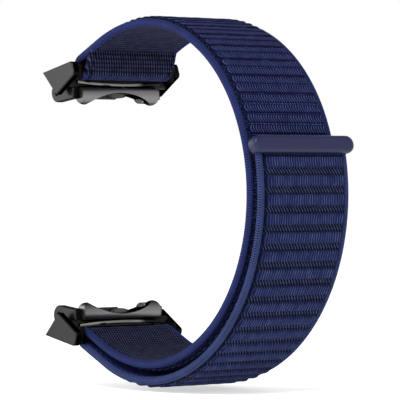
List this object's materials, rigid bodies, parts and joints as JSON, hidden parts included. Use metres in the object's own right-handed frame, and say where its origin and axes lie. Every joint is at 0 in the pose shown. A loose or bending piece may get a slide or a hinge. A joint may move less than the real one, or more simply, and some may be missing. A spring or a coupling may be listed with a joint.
{
  "type": "fitness tracker band",
  "caption": "Woven hook-and-loop wrist band for a slim fitness tracker, with a fold-back end, a pull tab and hinged quick-release connectors.",
  "frame": {"origin": "middle of the band's bounding box, on the wrist axis side of the loop, at mid width", "axes": "+X from the tracker gap to the far side of the loop, +Y along the band's width, +Z from the lower connector to the upper one"},
  "size_m": [0.0596, 0.0234, 0.0624],
  "materials": {
    "webbing": "woven, ribbed across the width",
    "selvedge": "fine knit edge",
    "hook_tape": "nylon hooks",
    "tab_polymer": "satin",
    "connector_black": "fine satin, dark grey",
    "polished_black": "polished",
    "clip_metal": "satin gunmetal",
    "button_metal": "satin gunmetal, ridged",
    "steel_pin": "drawn steel"
  },
  "bodies": {
    "strap": {"strap_wrist_layer": "webbing", "wrist_layer_selvedges": "selvedge", "strap_return_layer": "webbing", "return_layer_selvedges": "selvedge"},
    "free_end": {"strap_free_end": "webbing", "free_end_selvedges": "selvedge", "hook_patch": "hook_tape", "pull_tab": "tab_polymer"},
    "upper_connector": {"upper_side_ears": "connector_black", "upper_crossbar": "polished_black", "upper_strap_bar": "steel_pin", "upper_clip_bracket": "clip_metal", "upper_finger_bridge": "clip_metal", "upper_bridge_rivets": "steel_pin", "upper_button_springs": "steel_pin"},
    "upper_button": {"upper_release_button": "button_metal", "upper_latch_plate": "steel_pin"},
    "lower_connector": {"lower_side_ears": "connector_black", "lower_crossbar": "polished_black", "lower_strap_bar": "steel_pin", "lower_clip_bracket": "clip_metal", "lower_finger_bridge": "clip_metal", "lower_bridge_rivets": "steel_pin", "lower_button_springs": "steel_pin"},
    "lower_button": {"lower_release_button": "button_metal", "lower_latch_plate": "steel_pin"}
  },
  "joints": [
    {"name": "upper_connector_swing", "type": "hinge", "parent": "strap", "child": "upper_connector", "pos_m": [-0.02099, 0, 0.02349], "axis": [0, 1, 0], "range_deg": [-15, 15]},
    {"name": "lower_connector_swing", "type": "hinge", "parent": "strap", "child": "lower_connector", "pos_m": [-0.02099, 0, -0.02389], "axis": [0, -1, 0], "range_deg": [-15, 15]},
    {"name": "upper_button_press", "type": "slide", "parent": "upper_connector", "child": "upper_button", "axis": [0, 0, 1], "range_m": [0, 0.0005], "stiffness_N_per_m": 2000, "springref_m": -0.0003, "deforming": ["upper_button_springs"]},
    {"name": "lower_button_press", "type": "slide", "parent": "lower_connector", "child": "lower_button", "axis": [0, 0, -1], "range_m": [0, 0.0005], "stiffness_N_per_m": 2000, "springref_m": -0.0003, "deforming": ["lower_button_springs"]},
    {"name": "free_end_peel", "type": "hinge", "parent": "strap", "child": "free_end", "pos_m": [0.02451, 0, -0.0159], "axis": [0, 1, 0], "range_deg": [0, 50]}
  ]
}
